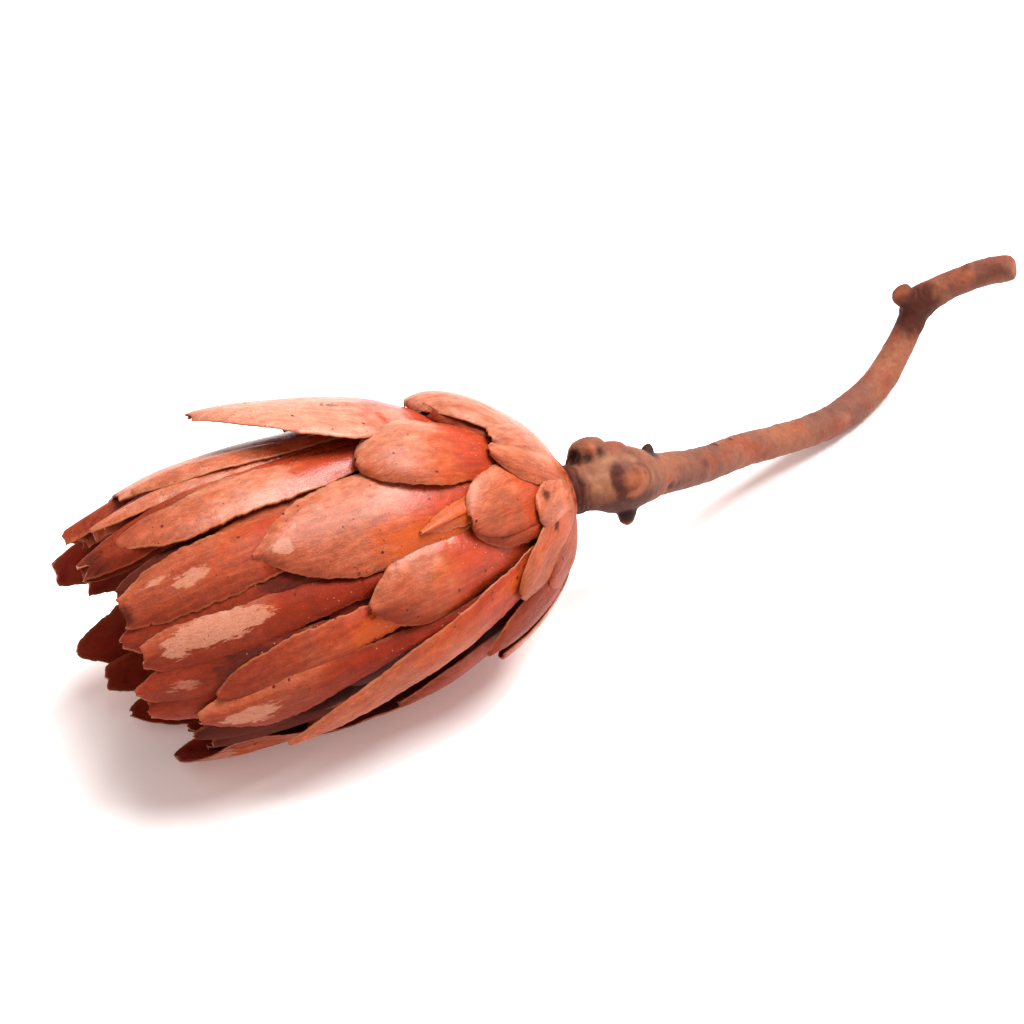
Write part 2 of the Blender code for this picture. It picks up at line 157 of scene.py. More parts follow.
# How each bract looks and how its blade departs from the plain form.
# out: distance from which it shows.
# tone: how light it is, partly its own colour, partly painted light on bracts that face the lamp
# and painted shade on those in shade; less dusk, darker towards the tip; less root, painted shade
# where it comes out from under the bracts that cover it; less lean, its own colour and painted
# shade towards its second margin.
# dry: how little of it stays fresh and red. arch: how full it is across.
# rise: how far it stands out. grow: what its two margins gain in width.
# torn: depth of the tears at its tip, which is cut off by the share blunt.
# roll: how far its margins curl in. lip: thickness of its second margin.
# split: where a slit starts, its place across and how far its flap sinks.
# pale, stain (dark stains and painted shade), glow (a painted glow of light shining through), blot:
# spots as (share of length, place across, their half sizes, strength).
Look = namedtuple("Look", "out tone dusk root lean dry arch rise grow torn blunt roll lip "
                          "split pale stain glow blot")
PLAIN = Look(out=0, tone=0.5, dusk=0.0, root=0.0, lean=0.0, dry=0.0, arch=0.8, rise=0.0,
             grow=(0.0, 0.0), torn=0.0, blunt=0.0, roll=0.0, lip=0.0, split=None,
             pale=(), stain=(), glow=(), blot=())


def seen(out, tone, **own):
    """The look of a bract that shows from a distance on, with its tone and what else it has."""
    return PLAIN._replace(out=out, tone=tone, **own)


# Low tones, root and lean and dark stain spots on bracts that lie deep or low at the front, such as
# long_4b, long_5 and long_8, are painted shade; the highest tones, as on middle_flared and long_1,
# are painted light.
LOOKS = {
    "scale_top": seen(4, 0.82, dry=0.6, lean=0.1, arch=1.5, rise=-0.5, torn=0.8),
    "scale_upper": seen(3, 0.7, dry=0.8, torn=0.5),
    "scale_slanting": seen(3, 0.6, dry=0.6, lean=0.15, torn=0.8),
    "scale_broad": seen(9, 0.5, lean=0.2, arch=0.9, split=(0.4, 0.62, 0.5), torn=0.6),
    "scale_base": seen(2, 0.6, dry=0.9, stain=((0.75, -0.6, 0.07, 0.3, 0.9),)),
    "scale_front": seen(4, 0.52, dry=0.7, stain=((0.44, -0.56, 0.04, 0.15, 1.1),)),
    "scale_low": seen(2, 0.4, dry=0.8),
    "scale_under": seen(6, 0.3, dry=0.4),
    "sliver": seen(22, 0.6, split=(0.35, 0.2, 0.5), torn=0.8, glow=((0.7, 0.3, 0.4, 2.0, 0.8),)),
    "middle_top": seen(18, 0.68, lean=0.2, root=0.05, arch=1.1, torn=0.6),
    "middle_broad": seen(
        24, 0.62, lean=0.15, dusk=0.1, arch=1.3, torn=0.5, glow=((0.42, 0.7, 0.22, 0.45, 0.9),),
        pale=((0.90, 0.05, 0.035, 0.35, 1.0), (0.84, -0.43, 0.012, 0.1, 0.9)),
        blot=((0.70, 0.94, 0.012, 0.12, 1.2),)),
    "middle_front": seen(
        26, 0.6, lean=0.25, dusk=0.2, arch=1.3, pale=((0.55, -0.9, 0.05, 0.25, 0.8),)),
    "middle_slanting": seen(14, 0.5, glow=((0.22, -0.3, 0.1, 0.5, 0.8),), torn=0.8),
    "middle_flared": seen(
        24, 1.0, arch=1.2, rise=1.2, grow=(0.0, 3.6), torn=1.0, pale=((0.36, 0.5, 0.05, 0.4, 0.9),),
        blot=((0.55, 0.3, 0.06, 0.10, 1.25),)),
    "middle_under": seen(24, 0.3),
    "long_1": seen(
        40, 0.85, blunt=0.08, torn=0.8, lip=0.8,
        pale=((0.88, 0.25, 0.02, 0.3, 0.9), (0.93, 0.0, 0.03, 0.4, 0.85)),
        blot=((0.77, 0.5, 0.02, 0.25, 0.9),)),
    "long_2": seen(
        50, 0.6, dusk=0.65, rise=0.5, blunt=0.06, torn=2.6, roll=1.6,
        stain=((0.97, 0.2, 0.05, 1.2, 0.7),)),
    "long_3": seen(
        38, 0.85, dusk=0.4, grow=(0.0, 1.1), torn=1.0, lip=0.95,
        glow=((0.62, 0.2, 0.08, 0.5, 0.5),)),
    "long_4": seen(
        52, 0.38, lean=0.12, arch=1.2, grow=(2.4, 0.0), torn=0.6, blunt=0.10,
        pale=((0.83, -0.1, 0.055, 0.2, 0.95), (0.91, -0.45, 0.05, 0.14, 0.8)),
        stain=((0.99, 0.1, 0.02, 0.7, 0.9),)),
    "long_4b": seen(60, 0.1, torn=0.7, root=0.8, stain=((0.6, 0.2, 0.1, 1.2, 0.8),)),
    "long_5": seen(
        48, 0.25, root=0.9, lean=0.3, arch=1.2, torn=0.6, blunt=0.06,
        pale=((0.82, -0.3, 0.12, 0.55, 1.2), (0.92, 0.1, 0.04, 0.5, 0.7))),
    "long_6": seen(
        44, 0.32, root=0.5, lean=0.25, arch=1.6, torn=0.6, grow=(0.0, 2.4),
        pale=((0.88, 0.2, 0.075, 0.4, 1.0),), blot=((0.90, -0.7, 0.012, 0.2, 1.2),)),
    "long_7": seen(42, 0.42, arch=1.0, dusk=0.2, glow=((0.5, 0.2, 0.14, 0.8, 1.0),)),
    "long_8": seen(
        70, -0.15, root=0.2, lean=0.2, arch=1.0, torn=0.5, pale=((0.89, 0.1, 0.045, 0.4, 0.65),),
        stain=((0.70, 0.2, 0.14, 1.2, 1.0),)),
    "long_9": seen(76, 0.0, root=0.3, torn=0.8, blunt=0.06, stain=((0.72, 0.0, 0.12, 1.2, 1.0),)),
    "mouth_1": seen(
        40, 0.45, arch=0.1, torn=0.6, roll=3.0, grow=(6.5, 0.0),
        pale=((0.9, -0.5, 0.06, 0.5, 0.9),)),
    "mouth_2": seen(30, 0.4, torn=0.8),
    "mouth_3": seen(30, 0.4, torn=2.5, blunt=0.12),
    "mouth_4": seen(30, 0.4, torn=0.7, grow=(0.5, 0.5)),
    "mouth_5": seen(30, 0.4, torn=1.2, blunt=0.14, grow=(1.6, 4.0)),
    "mouth_6": seen(30, 0.4, torn=1.3, blunt=0.2, grow=(3.6, 1.4)),
    "mouth_7": seen(30, 0.4, torn=2.5, blunt=0.12, roll=1.0),
    "mouth_8": seen(30, 0.3, torn=1.2, roll=1.2),
}
UNSEEN = seen(30, 0.5)
LOOK_SEED = 3
TONE_SPREAD = 0.12
# Hidden bracts show from this share of their length on.
HIDDEN_OUT = 0.45
HIDDEN_TORN = 0.4
# What each group of hidden bracts has of its own, by the first words of their names.
HIDDEN_LOOKS = {
    "back_scale": dict(tone=0.65, dry=0.5),
    "back_middle": dict(tone=0.65),
    "back_long": dict(tone=0.45),
    # The inner bracts, seen only through slots, are painted nearly black as painted shade.
    "inner": dict(tone=-0.2, stain=((0.8, 0.0, 0.8, 4.0, 1.3),)),
    "under": dict(tone=0.1),
    "gap": dict(tone=0.3, torn=1.4, roll=1.4),
    "lit": dict(tone=0.6),
}

# Mesh steps: along a bract where it shows and where it is covered, and places across it.
FINE_STEP = 0.36
COVERED_STEP = 1.6
COVER_MARGIN = 5.0
FINE_PLACES = 19
HIDDEN_STEP = 0.7
HIDDEN_PLACES = 11
# Places across are partly even and partly crowded towards the margins.
EVEN_SHARE = 0.45
CROWDED_SHARE = 0.55

# A blade's thickness in its middle and at its margins, and how wide its thinner margin is.
BLADE_MIDDLE = 0.62
BLADE_EDGE = 0.22
EDGE_TAPER = 2.2
# A blade that is pressed on the floor keeps its middle surface this high.
FLOOR_GAP = 0.32
SLIT_WIDTH = 0.30

# Where each change comes in along a bract, as shares of its length.
TORN_PART = (0.72, 1.0)
PROUD_PART = (0.15, 0.4)
GROWN_PART = (0.3, 0.6)
GROWN_TIP = (0.82, 1.0)
RAGGED_PART = (0.0, 0.15)
FREE_PART = (0.1, 0.45)
ROLLED_PART = (0.6, 0.95)
OPEN_TIP = (0.78, 1.0)
LIP_PART = (0.35, 0.6)
DUSK_PART = (0.55, 1.0)
ROOT_PART = (0.1, 0.5)
FRESH_SHARE = 0.62

# Margins roll in from this share across on, and a strong roll opens out again at the tip.
ROLLED_ACROSS = (0.45, 1.0)
STRONG_ROLL = (2.0, 3.0)
ROLL_TURN = 0.10
ROLL_UNEVEN = 0.8
# A grown margin keeps at most this much at the tip.
GROWN_KEPT = 0.8
GROWN_LOSS = 0.7
# Squared share across at which an arch is level with the plain form.
ARCH_LEVEL = 0.3

# Two slow waves bend a blade, as height and length. Three faster ones make a margin ragged, as
# height, length, shift of the side and shift of the seed.
MARGIN_WAVE = (0.3, 6.0)
BLADE_WAVE = (0.30, 13.0)
RAGGED = [(0.42, 5.0, 7.3, 0.0), (0.30, 1.5, 3.1, 9.0), (0.20, 0.55, 5.7, 21.0)]
SEED_RANGE = (0, 60)
SEED_APART = 7.0
# Paint fades from this level at a spot's middle, by this much for each half size.
SPOT_LEVEL, SPOT_FALL = 1.25, 0.75
# Width of the painted margin; the tip counts as lying this far from it.
MARGIN_PAINT = 0.9
TIP_INSET = 0.2


def smooth_between(points, x):
    """Value at x on a smooth curve through the points."""
    if x <= points[0][0]:
        return points[0][1]
    for i in range(len(points) - 1):
        (x0, y0), (x1, y1) = points[i], points[i + 1]
        if x > x1:
            continue
        before = points[max(i - 1, 0)]
        after = points[min(i + 2, len(points) - 1)]
        slope0 = (y1 - before[1]) / (x1 - before[0])
        slope1 = (after[1] - y0) / (after[0] - x0)
        t, span = (x - x0) / (x1 - x0), x1 - x0
        return ((2 * t**3 - 3 * t**2 + 1) * y0 + (t**3 - 2 * t**2 + t) * span * slope0
                + (3 * t**2 - 2 * t**3) * y1 + (t**3 - t**2) * span * slope1)
    return points[-1][1]


def ease(low, high, x):
    """0 below low, 1 above high and smooth between."""
    t = max(0.0, min(1.0, (x - low) / (high - low)))
    return t * t * (3 - 2 * t)


AXIS = Vector((-cos(HEAD_TILT), 0, -sin(HEAD_TILT)))
TOP = Vector((-sin(HEAD_TILT), 0, cos(HEAD_TILT)))
FRONT = Vector((0, -1, 0))


def head_point(along, angle, radius):
    """A point in the head: millimetres along the axis, radians round it, millimetres out."""
    out = TOP * cos(angle) + FRONT * sin(angle)
    return (HEAD_BASE + AXIS * along + out * radius) * MM


def hidden_bracts():
    """Neighbours in a ring lie in two layers, so that they overlap without crossing."""
    draw = random.Random(HIDDEN_SEED)
    found = []
    for kind, name, count, first, last, tips, half, layers in HIDDEN_RINGS:
        for i in range(count):
            angle = first + (last - first) * (i + 0.5) / count
            angle += draw.uniform(-ROOT_SPREAD, ROOT_SPREAD)
            layer = layers[i % 2] + draw.uniform(0, LAYER_SPREAD)
            tip = draw.uniform(*tips)
            end = angle + draw.uniform(-TIP_SPREAD, TIP_SPREAD)
            width = half * draw.uniform(*WIDTH_SPREAD)
            found.append(kind(f"{name}_{i + 1}", layer, tip, angle, end, width))
    return found + GAP_BRACTS


def envelope(b, along):
    """Radius of the layer that a bract lies in; past the layers that cover it, it stands proud."""
    depth = b.layer - smooth_between(OUTER_LAYER, along)
    return smooth_between(HEAD_OUTLINE, along) - depth * (LAYER_STEP if depth > 0 else PROUD_STEP)


def root_of(b):
    """Inner layers grow from higher on the receptacle."""
    return max(FIRST_ROOT, ROOT_STEP * b.layer - 1)


def half_width(b, v, blunt):
    if v < b.widest:
        rise = sin(pi / 2 * (v / b.widest) ** b.slim)
        return b.half * (b.neck + (1 - b.neck) * rise)
    fall = min(1, (v - b.widest) / (1 - b.widest)) * (1 - blunt)
    return max(TIP_HALF_WIDTH, b.half * (1 - fall**2) ** b.point)


def ragged(along, side, seed):
    """How far a torn margin stands out or in."""
    return sum(height * noise.noise(Vector((along / length, side * aside, seed + shift)))
               for height, length, aside, shift in RAGGED)


def tear(seed, across):
    """Depth of the tears in a tip, as a share of the deepest."""
    wide = noise.noise(Vector((across * 1.1, seed, 5.0)))
    narrow = noise.noise(Vector((across * 3.0, seed, 11.0)))
    return max(0.0, 0.3 + 1.1 * wide + 0.4 * max(0.0, narrow) ** 0.5)


def plain_radius(b, along, v):
    """How far out the middle line of a plain bract lies."""
    root = root_of(b)
    start = smooth_between(RECEPTACLE, root) - ROOT_SINK
    rise = exp(-(along - root) / ROOT_RISE)
    radius = envelope(b, along) - (envelope(b, root) - start) * rise
    radius += b.flare * (max(0, v - FLARE_FROM) / (1 - FLARE_FROM)) ** FLARE_POWER
    return radius + b.swell * sin(pi * v * v)


def torn_width(b, look, seed, along, v, side):
    """Half width of a bract up to its ragged margin on one side."""
    grown = look.grow[side > 0]
    width = half_width(b, v, look.blunt) + grown * ease(*GROWN_PART, v)
    width -= max(grown * GROWN_LOSS, grown - GROWN_KEPT) * ease(*GROWN_TIP, v)
    return width + ragged(along, side, seed) * min(1.0, width / 2.0) * ease(*RAGGED_PART, v)


def bract_surface(b, look, seed, along, across):
    """Middle surface of a bract with its torn margin, its arch and its waves."""
    root = root_of(b)
    v = (along - root) / (b.tip - root)
    along -= look.torn * tear(seed, across) * ease(*TORN_PART, v)
    v = (along - root) / (b.tip - root)
    radius = plain_radius(b, along, v) + look.rise * ease(*PROUD_PART, v)
    side = 1 if across > 0 else -1
    width = torn_width(b, look, seed, along, v, side)
    turn = across * width / radius

    free = ease(*FREE_PART, v)
    radius -= look.arch * (across * across - ARCH_LEVEL) * free
    height, length = MARGIN_WAVE
    edge = noise.noise(Vector((along / length, side * 4.2, seed + 33.0)))
    radius += height * edge * across**4 * free
    height, length = BLADE_WAVE
    radius += height * free * noise.noise(Vector((along / length, across * 1.1, seed + 50.0)))

    curled = ease(*ROLLED_ACROSS, abs(across)) * ease(*ROLLED_PART, v)
    curled *= 1 - ease(*STRONG_ROLL, look.roll) * ease(*OPEN_TIP, v)
    radius -= look.roll * curled * (1 + ROLL_UNEVEN * edge)
    turn *= 1 - ROLL_TURN * look.roll * curled
    angle = radians(b.start + (b.end - b.start) * v)
    point = head_point(along, angle + turn, radius)
    point.z = max(point.z, FLOOR_GAP * MM)
    return point, v, width


def spot(spots, v, across):
    """Strength of the nearest painted spot at a place on a bract."""
    best = 0.0
    for middle_v, middle_across, half_v, half_across, strength in spots:
        far = hypot((v - middle_v) / half_v, (across - middle_across) / half_across)
        best = max(best, strength * max(0.0, SPOT_LEVEL - SPOT_FALL * far))
    return best


def bract_rows(b, look, fine, covered):
    """Distances of the cross rows, coarse where other bracts cover the blade."""
    rows = [root_of(b)]
    shows_from = look.out - COVER_MARGIN
    while rows[-1] < b.tip - fine / 2:
        rows.append(min(b.tip, rows[-1] + (fine if rows[-1] > shows_from else covered)))
    return rows


def placed(name, data):
    """A new object in the scene."""
    made = bpy.data.objects.new(name, data)
    bpy.context.collection.objects.link(made)
    return made


def new_piece(name, points, faces, materials):
    mesh = bpy.data.meshes.new(name)
    mesh.from_pydata(points, [], faces)
    for each in materials:
        mesh.materials.append(each)
    return placed(name, mesh)


def apply_modifiers(piece):
    view = bpy.context.evaluated_depsgraph_get()
    mesh = bpy.data.meshes.new_from_object(piece.evaluated_get(view))
    piece.modifiers.clear()
    piece.data = mesh


class Sheet:
    """Middle surfaces of many blades gathered in one mesh, with what the material reads."""

    SPOTS = ("pale", "stain", "glow", "blot")
    FLOATS = ("fresh", "margin", "tone") + SPOTS

    def __init__(self):
        self.points, self.faces, self.places, self.thickness = [], [], [], []
        self.values = {key: [] for key in self.FLOATS}

    def add_bract(self, b, look, seed, fine, places):
        rows = bract_rows(b, look, fine, COVERED_STEP)
        even = [2 * j / (places - 1) - 1 for j in range(places)]
        across = [CROWDED_SHARE * sin(pi / 2 * a) + EVEN_SHARE * a for a in even]
        slit_from, slit_across, sink = look.split or (1.0, 0.0, 0.0)
        slit = min(range(1, places - 1), key=lambda j: abs(across[j] - slit_across))
        grid = []
        for along in rows:
            line = [self.bract_point(b, look, seed, along, a) for a in across]
            flap = line
            opened = 0.0
            if look.split:
                opened = ease(slit_from, 1.0, (along - rows[0]) / (b.tip - rows[0]))
            if opened > 0:
                flap = line[:slit] + [
                    self.bract_point(b, look, seed, along, a, sink * opened, SLIT_WIDTH * opened)
                    for a in across[slit:]]
            grid.append((line, flap))
        for (upper, upper_flap), (lower, lower_flap) in zip(grid, grid[1:]):
            for j in range(places - 1):
                high, low = (upper, lower) if j < slit else (upper_flap, lower_flap)
                self.faces.append((high[j], low[j], low[j + 1], high[j + 1]))

    def bract_point(self, b, look, seed, along, a, sink=0.0, aside=0.0):
        point, v, width = bract_surface(b, look, seed, along, a)
        if sink:
            out = point - head_point(along, 0, 0)
            point = point - out.normalized() * sink * MM + AXIS.cross(out).normalized() * aside * MM
        from_edge = (1 - abs(a)) * width
        thickness = BLADE_EDGE + (BLADE_MIDDLE - BLADE_EDGE) * ease(0.0, EDGE_TAPER, from_edge)
        if a > 0:
            thickness = max(thickness, look.lip * ease(*LIP_PART, v))
        out = max(look.out, root_of(b))
        fresh_part = FRESH_SHARE * (b.tip - out)
        from_rim = min(from_edge, b.tip - along + TIP_INSET)
        # Painted shade where a bract comes out from under the ones that cover it (root); lean
        # darkens it towards its second margin, partly its own colour and partly painted shade; dusk
        # makes it darker towards the tip.
        shade = look.root * (1 - ease(*ROOT_PART, (along - out) / (b.tip - out)))
        fresh = (1 - look.dry) * (1 - ease(0.0, fresh_part, along - out))
        margin = 1 - ease(0.0, MARGIN_PAINT, from_rim)
        tone = look.tone - look.dusk * ease(*DUSK_PART, v) - look.lean * a - shade
        spots = [spot(getattr(look, key), v, a) for key in self.SPOTS]
        for key, value in zip(self.FLOATS, (fresh, margin, tone, *spots)):
            self.values[key].append(value)
        self.points.append(point)
        self.places.append((along, a * width, seed * SEED_APART))
        self.thickness.append(thickness)
        return len(self.points) - 1

    def finished(self, name, materials):
        piece = new_piece(name, self.points, self.faces, materials)
        attributes = piece.data.attributes
        place = attributes.new("place", "FLOAT_VECTOR", "POINT")
        place.data.foreach_set("vector", [value for triple in self.places for value in triple])
        for key in self.FLOATS:
            attributes.new(key, "FLOAT", "POINT").data.foreach_set("value", self.values[key])
        group = piece.vertex_groups.new(name="thickness")
        thickest = max(self.thickness)
        steps = {}
        for index, value in enumerate(self.thickness):
            steps.setdefault(round(value / thickest, 2), []).append(index)
        for weight, members in steps.items():
            group.add(members, weight, "REPLACE")
        solid = piece.modifiers.new("thickness", "SOLIDIFY")
        solid.thickness = thickest * MM
        solid.offset = 0
        solid.vertex_group = group.name
        solid.material_offset = 1
        solid.material_offset_rim = 2
        apply_modifiers(piece)
        piece.data.shade_smooth()
        return piece


class Graph:
    """Short ways to lay out one material's nodes."""

    def __init__(self, name):
        self.material = bpy.data.materials.new(name)
        self.material.use_nodes = True
        self.tree = self.material.node_tree
        self.shader = self.tree.nodes["Principled BSDF"]

    def node(self, kind, inputs=(), **settings):
        made = self.tree.nodes.new(kind)
        for key, value in settings.items():
            setattr(made, key, value)
        for key, value in dict(inputs).items():
            self.plug(made.inputs[key], value)
        return made

    def plug(self, socket, value):
        if isinstance(value, bpy.types.NodeSocket):
            self.tree.links.new(value, socket)
        else:
            socket.default_value = value

    def attribute(self, name, output="Fac"):
        return self.node("ShaderNodeAttribute", attribute_name=name).outputs[output]

    def math(self, operation, a, b):
        return self.node("ShaderNodeMath", {0: a, 1: b}, operation=operation).outputs[0]

    plus = partialmethod(math, "ADD")
    minus = partialmethod(math, "SUBTRACT")
    times = partialmethod(math, "MULTIPLY")

    def object_place(self):
        return self.node("ShaderNodeTexCoord").outputs["Object"]

    def swing(self, value, amount):
        """A noise, moved and scaled to swing round zero."""
        return self.times(self.minus(value, 0.5), amount)

    def stretched(self, vector, by):
        made = self.node("ShaderNodeVectorMath", {0: vector, 1: by}, operation="MULTIPLY")
        return made.outputs[0]

    def noise(self, vector, scale, detail=3.0, rough=0.55):
        made = self.node("ShaderNodeTexNoise", {"Vector": vector, "Scale": scale, "Detail": detail,
                                                "Roughness": rough})
        return made.outputs["Fac"]

    def fibres(self, vector, along, across, detail=3.0, rough=0.55):
        """A noise drawn out along a bract: how often it changes along it and across it."""
        return self.noise(self.stretched(vector, (along, across, 1.0)), 1.0, detail, rough)

    def between(self, value, low, high, to_low=0.0, to_high=1.0):
        """A smooth step from one level to another as a value rises from low to high."""
        inputs = {"Value": value, "From Min": low, "From Max": high, "To Min": to_low,
                  "To Max": to_high}
        return self.node("ShaderNodeMapRange", inputs, interpolation_type="SMOOTHSTEP").outputs[0]

    def mix(self, factor, a, b, blend="MIX"):
        made = self.node("ShaderNodeMix", data_type="RGBA", blend_type=blend)
        for socket, value in ((made.inputs[0], factor), (made.inputs[6], a), (made.inputs[7], b)):
            self.plug(socket, (*value, 1) if isinstance(value, tuple) else value)
        return made.outputs[2]

    def shaded(self, colour, *factors):
        """A colour made lighter and darker by the product of some factors."""
        light = factors[0]
        for factor in factors[1:]:
            light = self.times(light, factor)
        grey = self.node("ShaderNodeCombineColor", {"Red": light, "Green": light, "Blue": light})
        return self.mix(1.0, colour, grey.outputs[0], "MULTIPLY")

    def bump(self, height, strength, distance, normal=None):
        inputs = {"Height": height, "Strength": strength, "Distance": distance}
        if normal is not None:
            inputs["Normal"] = normal
        return self.node("ShaderNodeBump", inputs).outputs["Normal"]

    def finished(self, colour, roughness, **inputs):
        for key, value in dict(Base_Color=colour, Roughness=roughness, **inputs).items():
            socket = self.shader.inputs[key.replace("_", " ")]
            if socket.type == "RGBA" and isinstance(value, tuple):
                value = (*value, 1)
            self.plug(socket, value)
        return self.material


# Bract colours, linear.
DEEP = (0.38, 0.042, 0.012)
ORANGE = (0.41, 0.066, 0.016)
PINK = (0.43, 0.108, 0.052)
TAN = (0.335, 0.078, 0.035)
GOLD = (0.48, 0.190, 0.072)
# DULL serves also as painted shade on the outer faces of bracts that lie in shade.
DULL = (0.155, 0.011, 0.003)
# LIGHT is partly a pale bloom and partly a painted sheen of light on bracts that face the lamp.
LIGHT = (0.55, 0.245, 0.165)
PALE_PATCH = (0.41, 0.170, 0.104)
# Painted glints.
GLINT = (0.75, 0.480, 0.380)
# Dark stains, and painted shade on bracts that lie deep or low at the front.
STAIN_AND_SHADE = (0.055, 0.010, 0.006)
# A painted glow of light shining through thin stretches.
GLOW = (0.42, 0.066, 0.006)
SPECK = (0.09, 0.006, 0.003)
MARGIN = (0.44, 0.155, 0.062)
INNER = (0.30, 0.020, 0.012)
INNER_DARK = (0.16, 0.011, 0.007)
INNER_TIP = (0.24, 0.034, 0.012)


def bract_grain(g, place):
    """Noises at the scales that a dried bract shows, most of them drawn out along its fibres."""
    bend = g.node("ShaderNodeCombineXYZ", {"Y": g.times(g.noise(place, 0.16, 2.0), 1.6)})
    bent = g.node("ShaderNodeVectorMath", {0: place, 1: bend.outputs[0]}, operation="ADD")
    lines = bent.outputs[0]
    return SimpleNamespace(
        fibre=g.fibres(lines, 0.20, 3.2, 4.0, 0.65), stroke=g.fibres(lines, 1.0, 4.4),
        streak=g.fibres(lines, 0.06, 0.8), mottle=g.noise(place, 0.24, 4.0, 0.62),
        cloud=g.fibres(lines, 0.22, 0.50, 4.0, 0.65), hue=g.fibres(place, 0.06, 0.16),
        patch=g.fibres(lines, 0.50, 0.95, 3.0, 0.6), fine=g.noise(place, 2.8, 3.0, 0.7),
        wrinkle=g.fibres(lines, 0.9, 1.5, 4.0, 0.7),
        torn=g.swing(g.fibres(lines, 0.30, 1.15, 5.0, 0.7), 1.6))


def bract_skin(g, grain, ripe, tone):
    """Red orange where a blade comes out, then salmon, then a dry tan bloom towards the tip;
    darkened with painted shade where the tone is low and lightened with pale bloom and painted
    light where it is high.
    """
    salmon = g.mix(g.between(grain.hue, 0.42, 0.70), ORANGE, PINK)
    colour = g.mix(g.between(ripe, -0.10, 0.32), TAN, salmon)
    colour = g.mix(g.between(ripe, 0.25, 0.85), colour, DEEP)
    # Painted shade, with dull streaks: the lower the tone, the more of the dark DULL colour.
    dull_and_shade = g.minus(g.plus(0.72, g.times(grain.streak, 0.5)), tone)
    colour = g.mix(g.between(dull_and_shade, 0.30, 0.80, 0.0, 0.85), colour, DULL)
    # Pale bloom and painted light: the higher the tone, the more of the LIGHT colour.
    pale_and_lit = g.plus(tone, g.swing(grain.cloud, 0.7))
    pale_and_lit = g.minus(pale_and_lit, g.between(ripe, 0.2, 0.8, 0.0, 0.45))
    colour = g.mix(g.between(pale_and_lit, 0.50, 1.10, 0.0, 0.85), colour, LIGHT)
    gold = g.times(g.between(grain.stroke, 0.46, 0.70), g.between(ripe, 0.0, 0.7, 0.55, 0.0))
    colour = g.mix(g.times(gold, g.between(tone, 0.3, 0.75, 0.1, 1.0)), colour, GOLD)
    return g.shaded(colour, g.between(grain.fibre, 0.28, 0.72, 0.90, 1.07),
                    g.between(grain.fine, 0.30, 0.70, 0.92, 1.06),
                    g.between(grain.cloud, 0.32, 0.68, 0.91, 1.08),
                    g.between(grain.patch, 0.34, 0.66, 0.86, 1.10))


def bract_spots(g, grain, colour, tone, pale, stain):
    """Pale worn patches, dark stains and painted shade, a painted glow of light shining through
    thin stretches, and dark blots.
    """
    cover = g.times(pale, g.between(grain.stroke, 0.30, 0.60, 0.60, 0.95))
    cover = g.times(cover, g.between(tone, -0.3, 0.2, 0.5, 1.0))
    colour = g.mix(cover, colour, PALE_PATCH)
    colour = g.mix(g.times(stain, 0.9), colour, STAIN_AND_SHADE)
    # A painted glow of light shining through thin stretches.
    glow = g.between(g.plus(g.attribute("glow"), grain.torn), 0.45, 0.70)
    colour = g.mix(g.times(glow, 0.75), colour, GLOW)
    blot = g.between(g.plus(g.attribute("blot"), g.swing(grain.stroke, 5.0)), 1.0, 1.25)
    return g.mix(g.times(blot, 0.85), colour, SPECK)


def bract_marks(g, grain, colour, place, fresh, tone):
    """Paler thin margins, dark red specks and small painted glints."""
    margin = g.between(g.plus(g.attribute("margin"), g.times(grain.torn, 0.7)), 0.45, 1.1)
    colour = g.mix(g.times(margin, g.between(tone, 0.0, 0.7, 0.25, 0.6)), colour, MARGIN)
    colour = g.mix(specks(g, place, 0.36, 0.12, 0.60), colour, SPECK)
    colour = g.mix(specks(g, place, 1.1, 0.16, 0.84), colour, SPECK)
    # Where the painted glints show.
    glint_zone = g.plus(grain.cloud, g.times(fresh, 0.4))
    glint = specks(g, g.stretched(place, (1.0, 1.0, 2.0)), 1.6, 0.17, 0.55)
    return g.mix(g.times(glint, g.between(glint_zone, 0.72, 0.92, 0.0, 0.55)), colour, GLINT)


def bract_outside():
    g = Graph("dried_bract")
    place = g.attribute("place", "Vector")
    fresh, tone = g.attribute("fresh"), g.attribute("tone")
    grain = bract_grain(g, place)
    ripe = g.plus(fresh, g.swing(grain.mottle, 1.1))
    pale = g.between(g.plus(g.attribute("pale"), grain.torn), 0.52, 0.64)
    stain = g.between(g.plus(g.attribute("stain"), grain.torn), 0.30, 0.9)
    colour = bract_skin(g, grain, ripe, tone)
    colour = bract_spots(g, grain, colour, tone, pale, stain)
    colour = bract_marks(g, grain, colour, place, fresh, tone)

    rough = g.plus(g.between(ripe, 0.0, 0.9, 0.46, 0.30), g.times(pale, 0.15))
    rough = g.plus(rough, g.times(stain, 0.4))
    rough = g.plus(rough, g.between(grain.mottle, 0.35, 0.65, -0.05, 0.09))
    relief = g.plus(g.times(grain.fibre, 0.6), g.times(grain.fine, 1.4))
    normal = g.bump(grain.mottle, 0.35, 0.0008, g.bump(relief, 0.9, 0.00016))
    coat = g.times(g.between(tone, 0.30, 0.80, 0.0, 0.6), g.between(fresh, 0.0, 0.5, 0.6, 1.0))
    return g.finished(colour, rough, Normal=normal, Coat_Weight=coat, Coat_Roughness=0.24,
                      Coat_Normal=g.bump(grain.wrinkle, 0.6, 0.00015), Specular_IOR_Level=0.07,
                      Subsurface_Weight=0.3, Subsurface_Scale=0.0012,
                      Subsurface_Radius=(1.0, 0.22, 0.08))


